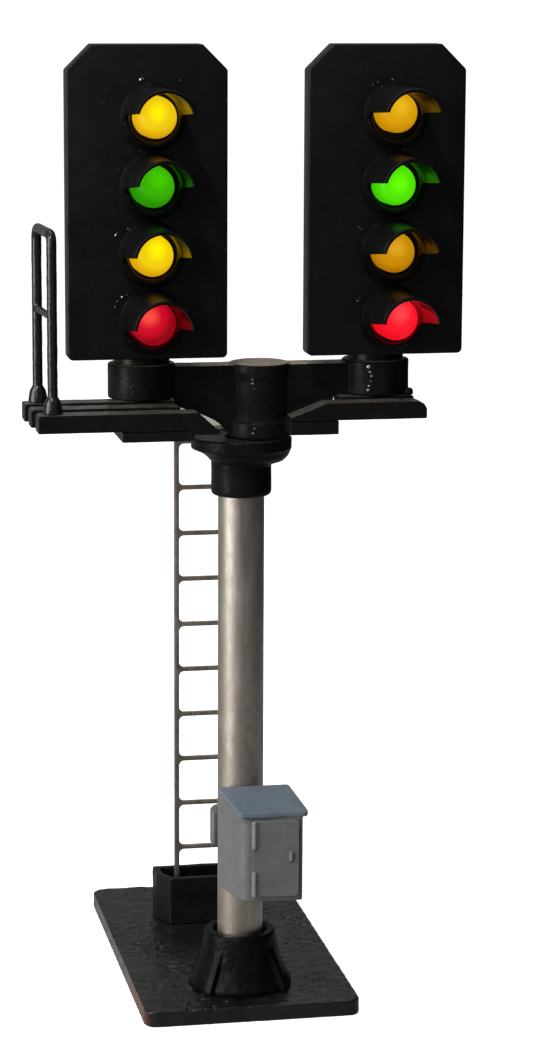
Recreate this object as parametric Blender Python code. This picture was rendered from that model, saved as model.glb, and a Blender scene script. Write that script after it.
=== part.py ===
# Model signal mast: two four-lamp colour light heads on a bracket, with a
# walkway, handrail, tubular mast, ladder, relay cabinet and base plate.
# Units are metres, +Z up, the lamps face -Y.  The origin is on the mast axis
# at the underside of the base plate.
import math
import bpy
import bmesh
from mathutils import Vector, Matrix

MM = 0.001

# ---------------------------------------------------------------- dimensions
# all in millimetres
BASE_LEFT = -8.7         # base plate edges (X)
BASE_RIGHT = 8.85
BASE_FRONT = -6.2        # front edge of the base plate (Y)
BASE_BACK = 26.6         # rear edge
BASE_T = 1.3             # thickness
BASE_R = 1.1             # corner radius
SLOT_HALF = 0.8          # passage for the leads, behind the mast axis
SLOT_Y = (0.38, 1.28)
GROOVE_W = 1.6           # groove for the leads in the underside
GROOVE_D = 0.6

MAST_R = 1.84            # mast tube outside radius
MAST_BORE = 1.35         # mast tube bore radius
MAST_Z0 = 2.14
MAST_Z1 = 46.1
FIT = 0.04               # clearance between parts that are pushed together

SOCKET_RIM_R = 2.9
SOCKET_RIM_Z = 5.9
SOCKET_FOOT_R = 4.2

LADDER_Y = 17.3          # plane of the ladder
LADDER_HALF = 2.45       # half distance between stile centres
STILE_W = 0.42
STILE_T = 0.34
RUNG_H = 0.38
RUNG_PITCH = 3.97
RUNG_FIRST = 7.70
RUNG_COUNT = 10
LADDER_Z0 = 2.4
LADDER_Z1 = 46.9

BRACKET_X = 1.3          # the bracket stands a little to one side of the mast
BRACKET_Y = -0.6         # row of the three bosses
HEAD_PITCH = 18.72       # distance between the two heads
ARM_HALF = 1.2           # half depth of the arms
ARM_TOP = 52.45
BOSS_R = 2.65            # end bosses
BOSS_Z0 = 49.98
BOSS_Z1 = 52.70
CENTRE_R = 2.30          # centre boss
TIER_R = 2.55
PIN_R = 1.20             # head pins, pushed into the end bosses
PIN_Z = 51.5
TIER_Z0 = 46.64
TIER_Z1 = 48.0
COLLAR_R = 2.4
COLLAR_Z0 = 41.9
FLANGE_R = 4.0

SLAT_Z0 = 48.57
SLAT_Z1 = 49.94
SLAT_W = 1.9
SLAT_PITCH = 3.2
SLAT_NEAR = -9.4         # front face of the first slat
PLAT_LEFT = (-17.2, -17.38, -17.55)   # left ends of the slats, front to rear
PLAT_RIGHT = 13.6

RAIL_X = (-15.98, -16.38)   # front and rear post
RAIL_R = 0.39
RAIL_TOP = 63.85
RAIL_MID = 57.25

HEAD_W = 12.4
HEAD_DX = 0.06           # heads sit slightly to one side of their pins
HEAD_H = 24.03
HEAD_Z0 = 53.33
HEAD_CHAMFER = 1.94
HEAD_FRONT = -3.82
HEAD_T = 2.0
LAMP_FIRST = 2.9         # lowest lamp above the lower edge
LAMP_PITCH = 5.22
# lamps stand slightly off the centre line, and each hood is trimmed a little differently:
# (sideways offset, height of the trim at the root and at the tip)
LAMP_FIT = {
    "left": {"lower": (0.30, -0.42, 0.14), "second": (0.28, -0.14, 0.37), "third": (0.42, -0.06, 0.46),
             "upper": (0.44, 0.24, 0.60)},
    "right": {"lower": (0.58, -0.26, 0.31), "second": (0.52, -0.10, 0.45), "third": (0.52, 0.15, 0.55),
              "upper": (0.60, 0.30, 0.63)}}
LAMP_R = 1.76
HOOD_IN = 2.06
HOOD_OUT = 2.36
HOOD_FLANGE = 2.56
HOOD_LEN = 7.0
HOOD_RING = 1.0

RELAY_Z0 = 10.0
RELAY_Z1 = 16.9

BLACK = (0.012, 0.012, 0.013)


# ------------------------------------------------------------------ clearing
for old in list(bpy.data.objects):
    bpy.data.objects.remove(old, do_unlink=True)


# ------------------------------------------------------------------- helpers
def material(name, colour, rough=0.45, metal=0.0, glow=0.0):
    m = bpy.data.materials.new(name)
    m.use_nodes = True
    b = m.node_tree.nodes.get("Principled BSDF")
    b.inputs["Base Color"].default_value = (colour[0], colour[1], colour[2], 1.0)
    b.inputs["Roughness"].default_value = rough
    b.inputs["Metallic"].default_value = metal
    if glow:
        b.inputs["Emission Color"].default_value = (colour[0], colour[1], colour[2], 1.0)
        b.inputs["Emission Strength"].default_value = glow
    m.diffuse_color = (colour[0], colour[1], colour[2], 1.0)
    return m


def make(name, verts, faces):
    me = bpy.data.meshes.new(name)
    me.from_pydata([(v[0] * MM, v[1] * MM, v[2] * MM) for v in verts], [], faces)
    bm = bmesh.new()
    bm.from_mesh(me)
    bmesh.ops.recalc_face_normals(bm, faces=bm.faces)
    bm.to_mesh(me)
    bm.free()
    ob = bpy.data.objects.new(name, me)
    bpy.context.scene.collection.objects.link(ob)
    return ob


def box(name, x0, x1, y0, y1, z0, z1):
    v = [(x, y, z) for x in (x0, x1) for y in (y0, y1) for z in (z0, z1)]
    f = [(0, 1, 3, 2), (4, 6, 7, 5), (0, 4, 5, 1), (2, 3, 7, 6), (0, 2, 6, 4), (1, 5, 7, 3)]
    return make(name, v, f)


def prism(name, pts, axis, a0, a1):
    """Extrude a polygon along an axis; pts are the other two coordinates in order."""
    n = len(pts)
    v = []
    for a in (a0, a1):
        for p, q in pts:
            v.append({"x": (a, p, q), "y": (p, a, q), "z": (p, q, a)}[axis])
    f = [tuple(range(n)), tuple(range(2 * n - 1, n - 1, -1))]
    for i in range(n):
        j = (i + 1) % n
        f.append((i, j, n + j, n + i))
    return make(name, v, f)


def rounded(x0, x1, y0, y1, r, seg=6, corners=(1, 1, 1, 1)):
    """Rounded rectangle, corners in the order (x0,y0) (x1,y0) (x1,y1) (x0,y1)."""
    pts = []
    for k, (cx, cy, a) in enumerate(((x0 + r, y0 + r, 180), (x1 - r, y0 + r, 270),
                                     (x1 - r, y1 - r, 0), (x0 + r, y1 - r, 90))):
        if corners[k]:
            for i in range(seg + 1):
                t = math.radians(a + 90.0 * i / seg)
                pts.append((cx + r * math.cos(t), cy + r * math.sin(t)))
        else:
            pts.append(((x0, x1, x1, x0)[k], (y0, y0, y1, y1)[k]))
    return pts


def lathe(name, profile, centre=(0.0, 0.0), seg=48, axis="z", start=0.0):
    """Turn a closed (radius, height) profile; a radius of zero makes a pole."""
    v, rings = [], []
    for r, h in profile:
        if r < 1e-6:
            rings.append([len(v)])
            pts = [(0.0, 0.0)]
        else:
            rings.append(list(range(len(v), len(v) + seg)))
            pts = [(r * math.cos(start + 2 * math.pi * i / seg),
                    r * math.sin(start + 2 * math.pi * i / seg)) for i in range(seg)]
        for p, q in pts:
            if axis == "z":
                v.append((centre[0] + p, centre[1] + q, h))
            elif axis == "y":
                v.append((centre[0] + p, h, centre[1] + q))
            else:
                v.append((h, centre[0] + p, centre[1] + q))
    f = []
    n = len(profile)
    for k in range(n):
        a, b = rings[k], rings[(k + 1) % n]
        if len(a) == 1 and len(b) == 1:
            continue
        for i in range(seg):
            j = (i + 1) % seg
            if len(a) == 1:
                f.append((a[0], b[i], b[j]))
            elif len(b) == 1:
                f.append((a[i], b[0], a[j]))
            else:
                f.append((a[i], b[i], b[j], a[j]))
    return make(name, v, f)


def rod(name, r, h0, h1, centre=(0.0, 0.0), seg=32, axis="z"):
    return lathe(name, [(0, h0), (r, h0), (r, h1), (0, h1)], centre, seg, axis)


def sweep(name, path, r, seg=12):
    """Round bar along a list of points."""
    pts = [Vector(p) for p in path]
    v, f = [], []
    side = None
    for k, p in enumerate(pts):
        if k == 0:
            d = (pts[1] - p).normalized()
        elif k == len(pts) - 1:
            d = (p - pts[k - 1]).normalized()
        else:
            d = ((pts[k + 1] - p).normalized() + (p - pts[k - 1]).normalized()).normalized()
        if side is None:
            side = d.orthogonal().normalized()
        side = (side - d * side.dot(d)).normalized()
        other = d.cross(side)
        for i in range(seg):
            t = 2 * math.pi * i / seg
            v.append(tuple(p + side * (r * math.cos(t)) + other * (r * math.sin(t))))
    n = len(pts)
    for k in range(n - 1):
        for i in range(seg):
            j = (i + 1) % seg
            f.append((k * seg + i, k * seg + j, (k + 1) * seg + j, (k + 1) * seg + i))
    f.append(tuple(range(seg - 1, -1, -1)))
    f.append(tuple(range((n - 1) * seg, n * seg)))
    return make(name, v, f)


def arc_path(points, radius, seg=5):
    """Round the inner corners of a polyline."""
    pts = [Vector(p) for p in points]
    out = [pts[0]]
    for k in range(1, len(pts) - 1):
        a = (pts[k - 1] - pts[k]).normalized()
        b = (pts[k + 1] - pts[k]).normalized()
        r = min(radius, 0.45 * (pts[k - 1] - pts[k]).length, 0.45 * (pts[k + 1] - pts[k]).length)
        p0, p1 = pts[k] + a * r, pts[k] + b * r
        for i in range(seg + 1):
            t = i / seg
            out.append((1 - t) ** 2 * p0 + 2 * t * (1 - t) * pts[k] + t * t * p1)
    out.append(pts[-1])
    return [tuple(p) for p in out]


def combine(ob, tools, kind):
    """Apply an exact boolean with each tool and discard the tools."""
    for tool in tools:
        mod = ob.modifiers.new("b", "BOOLEAN")
        mod.operation = kind
        mod.solver = "EXACT"
        mod.object = tool
        bpy.context.view_layer.update()
        dg = bpy.context.evaluated_depsgraph_get()
        me = bpy.data.meshes.new_from_object(ob.evaluated_get(dg))
        old = ob.data
        ob.modifiers.clear()
        ob.data = me
        bpy.data.meshes.remove(old)
        me.name = ob.name
        bpy.data.objects.remove(tool, do_unlink=True)
    bm = bmesh.new()
    bm.from_mesh(ob.data)
    bmesh.ops.remove_doubles(bm, verts=bm.verts, dist=1e-6)
    bmesh.ops.dissolve_limit(bm, angle_limit=math.radians(0.3), verts=bm.verts,
                             edges=bm.edges)
    bmesh.ops.recalc_face_normals(bm, faces=bm.faces)
    bm.to_mesh(ob.data)
    bm.free()
    return ob


def join(ob, *tools):
    return combine(ob, tools, "UNION")


def cut(ob, *tools):
    return combine(ob, tools, "DIFFERENCE")


def turn(ob, angle):
    ob.data.transform(Matrix.Rotation(angle, 4, "Z"))
    return ob


def finish(ob, mat, smooth=True, origin=None):
    if origin is not None:
        o = Vector((origin[0] * MM, origin[1] * MM, origin[2] * MM))
        ob.data.transform(Matrix.Translation(-o))
        ob.location = o
    ob.data.materials.clear()
    ob.data.materials.append(mat)
    if smooth:
        ob.data.shade_smooth()
        ob.data.set_sharp_from_angle(angle=math.radians(35))
    return ob


# ---------------------------------------------------------------- base plate
base = prism("base_plate", rounded(BASE_LEFT, BASE_RIGHT, BASE_FRONT, BASE_BACK, BASE_R, 8), "z", 0, BASE_T)
cut(base,
    prism("c", rounded(-SLOT_HALF, SLOT_HALF, SLOT_Y[0], SLOT_Y[1], 0.4, 6), "z", -1, BASE_T + 1),
    box("c", -GROOVE_W / 2, GROOVE_W / 2, 0.83, BASE_BACK + 1, -1, GROOVE_D))
finish(base, material("base_black", BLACK, 0.35))

# --------------------------------------------------------------- mast socket
z0 = BASE_T + FIT
foot = SOCKET_FOOT_R
profile = [(MAST_R + FIT, z0 + 0.8), (MAST_BORE, z0 + 0.8), (MAST_BORE, z0)]
for r, z in ((foot, z0), (foot, z0 + 0.35), (3.85, z0 + 0.9), (3.45, z0 + 1.8), (3.15, z0 + 2.9),
             (2.98, z0 + 3.9), (SOCKET_RIM_R, SOCKET_RIM_Z - 0.12), (SOCKET_RIM_R - 0.12, SOCKET_RIM_Z)):
    profile.append((r, z))
profile += [(2.22, SOCKET_RIM_Z), (MAST_R + FIT, SOCKET_RIM_Z - 0.7)]
socket = lathe("mast_socket", profile, seg=36)
ribs = []
for k in range(4):
    rib = prism("r", [(2.3, z0 + 0.02), (4.65, z0 + 0.02), (4.65, z0 + 0.4), (2.95, 4.9), (2.3, 4.9)], "y", -0.36, 0.36)
    ribs.append(turn(rib, math.radians(45 + 90 * k)))
join(socket, *ribs)
finish(socket, material("socket_black", BLACK, 0.32))

# ----------------------------------------------------------------- mast tube
tube = lathe("mast_tube", [(MAST_BORE, MAST_Z0 + FIT), (MAST_R, MAST_Z0 + FIT),
                           (MAST_R, MAST_Z1), (MAST_BORE, MAST_Z1)], seg=48)
finish(tube, material("mast_nickel", (0.62, 0.57, 0.53), 0.42, 0.75))

# ---------------------------------------------------------------- ladder box
lb_z0 = BASE_T + FIT
lb = prism("ladder_box", [(-3.35, 15.3), (4.2, 15.3), (4.2, 19.3), (-4.3, 19.3), (-4.3, 17.0)],
           "z", lb_z0, 5.45)
well = prism("c", [(-3.05, 15.85), (3.6, 15.85), (3.6, 18.8), (-3.7, 18.8), (-3.7, 17.1)],
             "z", LADDER_Z0 - 0.06, 7.0)
cut(lb, well)
finish(lb, material("ladder_box_black", BLACK, 0.4), smooth=False)

# -------------------------------------------------------------------- ladder
ys0, ys1 = LADDER_Y - STILE_T / 2, LADDER_Y + STILE_T / 2
xo = LADDER_HALF + STILE_W / 2
xi = LADDER_HALF - STILE_W / 2
ladder = box("ladder", -xo, xo, ys0, ys1, LADDER_Z0, LADDER_Z1)
windows = []
levels = [RUNG_FIRST + RUNG_PITCH * i for i in range(RUNG_COUNT)]
edges = [LADDER_Z0 - 1.0] + levels + [LADDER_Z1 + 1.0]
for i in range(len(edges) - 1):
    lo = edges[i] + (RUNG_H / 2 if i else 0.0)
    hi = edges[i + 1] - (RUNG_H / 2 if i < len(edges) - 2 else 0.0)
    windows.append(prism("c", rounded(-xi, xi, lo, hi, 0.42, 3), "y", ys0 - 1, ys1 + 1))
cut(ladder, *windows)
finish(ladder, material("ladder_nickel", (0.50, 0.44, 0.38), 0.45, 0.8), smooth=False)

# ------------------------------------------------------------ ladder landing
landing = box("ladder_landing", -3.4, 3.4, 2.9, 19.1, 46.66, 47.0)
cut(landing,
    box("c", -xo - FIT, xo + FIT, ys0 - FIT, ys1 + FIT, 46.0, 48.0),
    rod("c", FLANGE_R - 0.9, 46, 48, centre=(BRACKET_X, BRACKET_Y), seg=48))
finish(landing, material("landing_nickel", (0.66, 0.62, 0.57), 0.4, 0.7), smooth=False)

# --------------------------------------------------------------- mast collar
collar = lathe("mast_collar", [
    (MAST_R + FIT, COLLAR_Z0), (COLLAR_R - 0.25, COLLAR_Z0), (COLLAR_R - 0.07, COLLAR_Z0 + 0.1),
    (COLLAR_R, COLLAR_Z0 + 0.3), (COLLAR_R, 44.75), (3.24, 45.35), (FLANGE_R, 45.66),
    (FLANGE_R, 46.5), (FLANGE_R - 0.1, 46.6), (1.3, 46.6), (1.3, MAST_Z1 + FIT),
    (MAST_R + FIT, MAST_Z1 + FIT)], seg=40)
# the cup under the flange leans towards the bracket
bowl = lathe("t", [(1.7, 44.35), (1.95, 44.35), (2.96, 44.73), (3.3, 45.07), (3.5, 45.5), (3.5, 46.0), (1.7, 46.0)],
             centre=(0.45, 0.0), seg=40)
cut(bowl, rod("c", MAST_R + FIT + 0.1, 43, 47, seg=40))
join(collar, bowl)
finish(collar, material("collar_black", BLACK, 0.3))

# -------------------------------------------------------------- bracket body
bX, bY = BRACKET_X, BRACKET_Y
head_x = (bX - HEAD_PITCH / 2, bX + HEAD_PITCH / 2)
contour = [(head_x[0], ARM_TOP), (head_x[0], BOSS_Z0 + 0.02), (-5.75, BOSS_Z0 + 0.02), (-5.6, 49.35),
           (-4.8, 49.05), (-4.0, 48.82), (-3.2, 48.5), (-2.5, 48.15), (-1.9, 47.75), (-1.4, 47.2),
           (-1.0, 46.7), (3.6, 46.7), (4.0, 47.9), (4.6, 48.35), (5.4, 48.7), (6.3, 48.95), (6.95, 49.1),
           (7.1, BOSS_Z0 + 0.02), (head_x[1], BOSS_Z0 + 0.02), (head_x[1], ARM_TOP)]
bracket = prism("bracket_body", contour, "y", bY - ARM_HALF, bY + ARM_HALF)
centre = lathe("t", [(0, TIER_Z0), (TIER_R - 0.1, TIER_Z0), (TIER_R, TIER_Z0 + 0.1),
                     (TIER_R, TIER_Z1 - 0.08), (TIER_R - 0.08, TIER_Z1), (CENTRE_R, TIER_Z1 + 0.02),
                     (CENTRE_R, 51.2), (2.42, 51.9), (2.42, ARM_TOP + 0.02), (2.3, ARM_TOP + 0.1),
                     (0, ARM_TOP + 0.1)], centre=(bX, bY), seg=40)
ends = [lathe("t", [(0, BOSS_Z0), (BOSS_R, BOSS_Z0), (BOSS_R, BOSS_Z1 - 0.12),
                    (BOSS_R - 0.12, BOSS_Z1), (0, BOSS_Z1)], centre=(x, bY), seg=40) for x in head_x]
join(bracket, centre, *ends)
cuts = [rod("c", PIN_R + FIT, 50.5, 54, centre=(x, bY), seg=28) for x in head_x]
cuts.append(box("c", head_x[0], head_x[1], bY - 0.45, bY + 0.45, 50.55, 51.45))
cuts.append(box("c", -0.62, 1.55, bY - 0.5, bY + 0.75, 46.0, 51.3))
cut(bracket, *cuts)
finish(bracket, material("bracket_black", BLACK, 0.3))


# ------------------------------------------------------------------ walkway
def slat(name, xa, xb, y0, profile=None):
    pts = profile if profile else [(xa, SLAT_Z0), (xb, SLAT_Z0), (xb, SLAT_Z1 - 0.12),
                                   (xb - 0.12, SLAT_Z1), (xa + 0.12, SLAT_Z1), (xa, SLAT_Z1 - 0.12)]
    ob = prism(name, pts, "y", y0, y0 + SLAT_W)
    return finish(ob, material(name + "_black", BLACK, 0.42), smooth=False)


y_near = SLAT_NEAR
y_mid = SLAT_NEAR + SLAT_PITCH
y_far = SLAT_NEAR + 2 * SLAT_PITCH
slat("left_slat_front", 0, 0, y_near,
     [(PLAT_LEFT[0], SLAT_Z0), (-5.6, SLAT_Z0), (-5.6, 48.2), (-3.42, 48.2), (-3.3, 48.4),
      (-5.02, SLAT_Z1), (PLAT_LEFT[0] + 0.15, SLAT_Z1), (PLAT_LEFT[0], SLAT_Z1 - 0.15)])
slat("left_slat_middle", PLAT_LEFT[1], -5.85, y_mid)
slat("left_slat_rear", PLAT_LEFT[2], -5.85, y_far)
slat("right_slat_front", 0, 0, y_mid,
     [(2.75, SLAT_Z0), (PLAT_RIGHT - 0.3, SLAT_Z0), (PLAT_RIGHT, SLAT_Z0 + 0.3),
      (PLAT_RIGHT, SLAT_Z1 - 0.7), (PLAT_RIGHT - 0.2, SLAT_Z1 - 0.3), (PLAT_RIGHT - 0.9, SLAT_Z1),
      (5.6, SLAT_Z1), (2.75, 48.85)])
slat("right_slat_rear", 7.2, PLAT_RIGHT - 0.3, y_far)

BEARER_TOP = SLAT_Z0 - FIT
lbear = prism("left_bearer", [(-10.8, -9.3), (-5.66, -9.3), (-5.66, 0.6), (-7.6, 0.6), (-7.6, -3.1), (-10.8, -3.1)],
              "z", 47.74, BEARER_TOP)
finish(lbear, material("left_bearer_black", BLACK, 0.4), smooth=False)
rbear = prism("right_bearer", [(2.76, -6.1), (6.6, -6.1), (6.6, 0.5), (4.75, 0.5), (4.75, -3.35), (2.76, -3.35)],
              "z", 47.45, 48.2)
join(rbear, prism("t", [(2.76, -6.1), (6.6, -6.1), (6.6, -3.35), (2.76, -3.35)], "z", 48.1, BEARER_TOP))
finish(rbear, material("right_bearer_black", BLACK, 0.4), smooth=False)

# ------------------------------------------------------------------ handrail
rail_y = (y_near + SLAT_W / 2, y_far + SLAT_W / 2)
foot_z = SLAT_Z1 + FIT
loop = arc_path([(RAIL_X[0], rail_y[0], foot_z + 0.3), (RAIL_X[0], rail_y[0], RAIL_TOP - RAIL_R),
                 (RAIL_X[1], rail_y[1], RAIL_TOP - RAIL_R), (RAIL_X[1], rail_y[1], foot_z + 0.3)], 0.9, 6)
rail = sweep("handrail", loop, RAIL_R, 12)
feet = [lathe("t", [(0, foot_z), (0.78, foot_z), (0.78, foot_z + 0.55), (0.5, foot_z + 1.0), (0, foot_z + 1.0)],
              centre=(x, y), seg=20) for x, y in zip(RAIL_X, rail_y)]
join(rail, sweep("t", [(RAIL_X[0], rail_y[0], RAIL_MID), (RAIL_X[1], rail_y[1], RAIL_MID)], 0.27, 12), *feet)
finish(rail, material("handrail_black", BLACK, 0.35))

stub = lathe("right_end_stub", [(0, foot_z), (0.35, foot_z), (0.35, foot_z + 0.3), (0.25, foot_z + 0.5),
                                (0, foot_z + 0.55)], centre=(12.94, y_far + 0.36), seg=20)
finish(stub, material("stub_black", BLACK, 0.4))

# --------------------------------------------------------------- relay cabinet
# The cabinet is not quite square in plan: its front faces a little to the right
# of the lamps and its left side runs in towards the mast.
r0, r1 = RELAY_Z0, RELAY_Z1
CAB_FL, CAB_FR, CAB_BR, CAB_BL = (-0.8, -5.9), (4.0, -6.3), (3.3, -1.05), (-2.1, -1.2)
CAB_TURN = math.atan2(CAB_FR[1] - CAB_FL[1], CAB_FR[0] - CAB_FL[0])


def on_front(ob):
    """Moves a piece built on the plane y = 0 to the cabinet's front, x from its left edge."""
    ob.data.transform(Matrix.Translation((CAB_FL[0] * MM, CAB_FL[1] * MM, 0.0))
                      @ Matrix.Rotation(CAB_TURN, 4, "Z"))
    return ob


def round_corners(pts, radii, seg=5):
    """Rounds the corners of a polygon with quadratic arcs."""
    out = []
    n = len(pts)
    for k in range(n):
        p = Vector(pts[k])
        r = radii[k]
        if r <= 0:
            out.append(tuple(p))
            continue
        a = p + (Vector(pts[k - 1]) - p).normalized() * r
        b = p + (Vector(pts[(k + 1) % n]) - p).normalized() * r
        for i in range(seg + 1):
            t = i / seg
            out.append(tuple((1 - t) ** 2 * a + 2 * t * (1 - t) * p + t * t * b))
    return out


body = prism("relay_body", round_corners([CAB_FL, CAB_FR, CAB_BR, CAB_BL], (0.5, 0.4, 0, 0)), "z", r0, r1)
cut(body, rod("c", MAST_R + FIT, r0 - 1, r1 + 1, seg=48), box("c", 0.25, 3.45, -7.0, -2.35, r0 + 0.65, r1 - 0.4))
finish(body, material("relay_grey", (0.27, 0.28, 0.29), 0.6))

door = prism("relay_door", rounded(0.72, 4.4, r0 + 0.43, r1 - 0.2, 0.2, 4), "y", -0.34, -FIT)
finish(on_front(door), material("relay_door_grey", (0.10, 0.10, 0.10), 0.6), smooth=False)

zb0, zb1, zf1 = r1 + FIT, 18.38, 17.28
roof_pts = [(-1.15, -6.2), (4.42, -6.3), (3.55, -1.92), (-2.2, -1.92)]
verts = [(x, y, zb0) for x, y in roof_pts] + [(x, y, zf1 if y < -3 else zb1) for x, y in roof_pts]
roof = make("relay_roof", verts, [(0, 3, 2, 1), (4, 5, 6, 7), (0, 1, 5, 4), (1, 2, 6, 5), (2, 3, 7, 6), (3, 0, 4, 7)])
finish(roof, material("relay_roof_grey", (0.12, 0.14, 0.165), 0.55), smooth=False)

for nm, lo, hi in (("relay_hinge_upper", 14.4, 16.65), ("relay_hinge_lower", 10.5, 12.55)):
    knuckle = [(0.83 + 0.26 * math.cos(math.radians(180 + 180 * i / 8)),
                -0.38 + 0.24 * math.sin(math.radians(180 + 180 * i / 8))) for i in range(9)]
    finish(on_front(prism(nm, knuckle, "z", lo, hi)), material(nm + "_grey", (0.14, 0.14, 0.14), 0.5))

handle = prism("relay_handle", [(-0.36, 13.3), (-0.36, 14.2), (-0.6, 14.05), (-0.6, 13.45)], "x", 3.6, 3.9)
finish(on_front(handle), material("relay_handle_grey", (0.2, 0.2, 0.2), 0.5), smooth=False)

ring_pts = []
ri, ro = MAST_R + FIT, 2.45
a0, a1 = math.radians(-18), math.radians(200)
for i in range(25):
    t = a0 + (a1 - a0) * i / 24
    ring_pts.append((ro * math.cos(t), ro * math.sin(t)))
for i in range(25):
    t = a1 + (a0 - a1) * i / 24
    ring_pts.append((ri * math.cos(t), ri * math.sin(t)))
clamp = prism("relay_clamp", ring_pts, "z", 13.25, 15.95)
finish(clamp, material("relay_clamp_grey", (0.14, 0.14, 0.14), 0.6))

# --------------------------------------------------------------- signal heads
LAMPS = ("lower", "second", "third", "upper")
COLOURS = {"lower": (0.85, 0.01, 0.02), "second": (0.85, 0.50, 0.02), "third": (0.02, 0.65, 0.05),
           "upper": (0.90, 0.55, 0.02)}
for side, cx in (("left", head_x[0]), ("right", head_x[1])):
    axis = (cx, bY, BOSS_Z1)
    w = HEAD_W / 2
    zb, zt = HEAD_Z0, HEAD_Z0 + HEAD_H
    ch = HEAD_CHAMFER
    lamp_x = [cx + LAMP_FIT[side][n][0] for n in LAMPS]
    lamp_z = [zb + LAMP_FIRST + LAMP_PITCH * i for i in range(4)]

    hx = cx + HEAD_DX
    low = rounded(hx - w, hx + w, zb, zb + 4, 0.4, 4, (1, 1, 0, 0))
    outline = [p for p in low if p[1] < zb + 3.9]
    outline += [(hx + w, zt - ch), (hx + w - ch, zt), (hx - w + ch, zt), (hx - w, zt - ch)]
    board = prism(side + "_backboard", outline, "y", HEAD_FRONT, HEAD_FRONT + HEAD_T)
    cut(board, *[rod("c", LAMP_R + FIT, -9, 3, centre=(x, z), seg=28, axis="y")
                 for x, z in zip(lamp_x, lamp_z)])
    finish(board, material(side + "_backboard_black", BLACK, 0.34), origin=axis)

    ry0 = HEAD_FRONT + HEAD_T + FIT
    cover = prism(side + "_rear_cover", rounded(cx - 4.7, cx + 4.7, zb - 0.16, zt - 1.4, 0.7, 5), "y", ry0, 1.5)
    inner = prism("c", rounded(cx - 4.2, cx + 4.2, zb + 0.6, zt - 1.9, 0.5, 4), "y", ry0 - 1, 1.0)
    cut(cover, inner)
    spig = lathe("t", [(0, PIN_Z), (PIN_R - 0.08, PIN_Z), (PIN_R, PIN_Z + 0.1), (PIN_R, BOSS_Z1 + FIT),
                       (2.2, BOSS_Z1 + FIT), (2.2, zb - FIT), (0, zb - FIT)], centre=(cx, bY), seg=28)
    join(cover, spig)
    cut(cover, rod("c", 0.6, 50, zb + 1.2, centre=(cx, bY), seg=24))
    finish(cover, material(side + "_cover_black", BLACK, 0.38), origin=axis)

    pcb = box(side + "_circuit_board", cx - 3.9, cx + 3.9, -0.55, -0.15, zb + 0.9, zt - 2.2)
    cut(pcb, rod("c", 0.9, 50, zb + 2.0, centre=(cx, bY), seg=20))
    finish(pcb, material(side + "_board_green", (0.02, 0.16, 0.07), 0.5), smooth=False, origin=axis)

    for name, x, z in zip(LAMPS, lamp_x, lamp_z):
        yb = -0.62
        tip = HEAD_FRONT - 2.5
        prof = [(0, yb), (LAMP_R, yb), (LAMP_R, HEAD_FRONT - 1.35)]
        for i in range(1, 5):
            t = math.radians(90 * i / 4)
            prof.append((LAMP_R * math.cos(t) if i < 4 else 0.0, HEAD_FRONT - 1.35 - 1.15 * math.sin(t)))
        lamp = lathe(side + "_lamp_" + name, prof, centre=(x, z), seg=28, axis="y")
        finish(lamp, material(side + "_lamp_" + name + "_glow", COLOURS[name], 0.25, 0.0, 1.0), origin=axis)

        f0 = HEAD_FRONT - FIT
        tip_y = HEAD_FRONT - HOOD_LEN
        ring_y = HEAD_FRONT - HOOD_RING
        hood = lathe(side + "_hood_" + name, [
            (HOOD_IN, f0), (HOOD_FLANGE, f0), (HOOD_FLANGE, f0 - 0.35), (HOOD_OUT + 0.08, f0 - 0.55),
            (HOOD_OUT, tip_y), (HOOD_IN, tip_y)], centre=(x, z), seg=36, axis="y")
        low, high = LAMP_FIT[side][name][1:]
        far = high + (high - low) / (ring_y - 0.6 - tip_y)
        trim = prism("c", [(ring_y, z - 4.0), (ring_y, z + low - 0.5), (ring_y - 0.6, z + low),
                           (tip_y - 1.0, z + far), (tip_y - 1.0, z - 4.0)], "x", x - 5, x + 5)
        cut(hood, trim)
        finish(hood, material(side + "_hood_" + name + "_black", BLACK, 0.3), origin=axis)

# --------------------------------------------------------------------- leads
lead_z = 50.95
for side, cx, top_x, low_x, out in (("left", head_x[0], 0.05, -0.42, -1), ("right", head_x[1], 0.95, 0.42, 1)):
    route = arc_path([(cx, bY, 53.4), (cx, bY, lead_z), (top_x, bY, lead_z), (top_x, bY, 48.2),
                      (low_x, 0.0, 45.8), (low_x, 0.0, 7.0), (low_x, 0.83, 2.6), (low_x, 0.83, 0.35)], 0.55, 4)
    lead = sweep(side + "_lead", route, 0.3, 10)
    finish(lead, material(side + "_lead_sleeve", (0.55, 0.08, 0.05) if out < 0 else (0.5, 0.45, 0.1), 0.5))
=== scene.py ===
import math
import bpy
import bmesh
from mathutils import Vector, Matrix, noise


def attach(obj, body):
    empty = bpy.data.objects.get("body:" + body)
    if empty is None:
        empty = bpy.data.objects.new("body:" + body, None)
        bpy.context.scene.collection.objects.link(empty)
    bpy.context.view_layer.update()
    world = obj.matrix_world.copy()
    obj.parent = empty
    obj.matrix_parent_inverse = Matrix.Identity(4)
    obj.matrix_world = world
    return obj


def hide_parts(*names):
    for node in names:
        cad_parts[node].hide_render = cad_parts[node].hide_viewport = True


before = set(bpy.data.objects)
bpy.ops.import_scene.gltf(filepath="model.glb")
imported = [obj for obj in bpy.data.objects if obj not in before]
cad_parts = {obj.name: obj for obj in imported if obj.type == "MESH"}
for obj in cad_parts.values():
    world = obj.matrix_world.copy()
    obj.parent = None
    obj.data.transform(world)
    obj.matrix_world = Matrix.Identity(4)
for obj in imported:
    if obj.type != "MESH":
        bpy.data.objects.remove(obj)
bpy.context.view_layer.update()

SCALE = Matrix.Scale(0.001, 4)      # everything below is modelled in millimetres
R = math.radians


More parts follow.
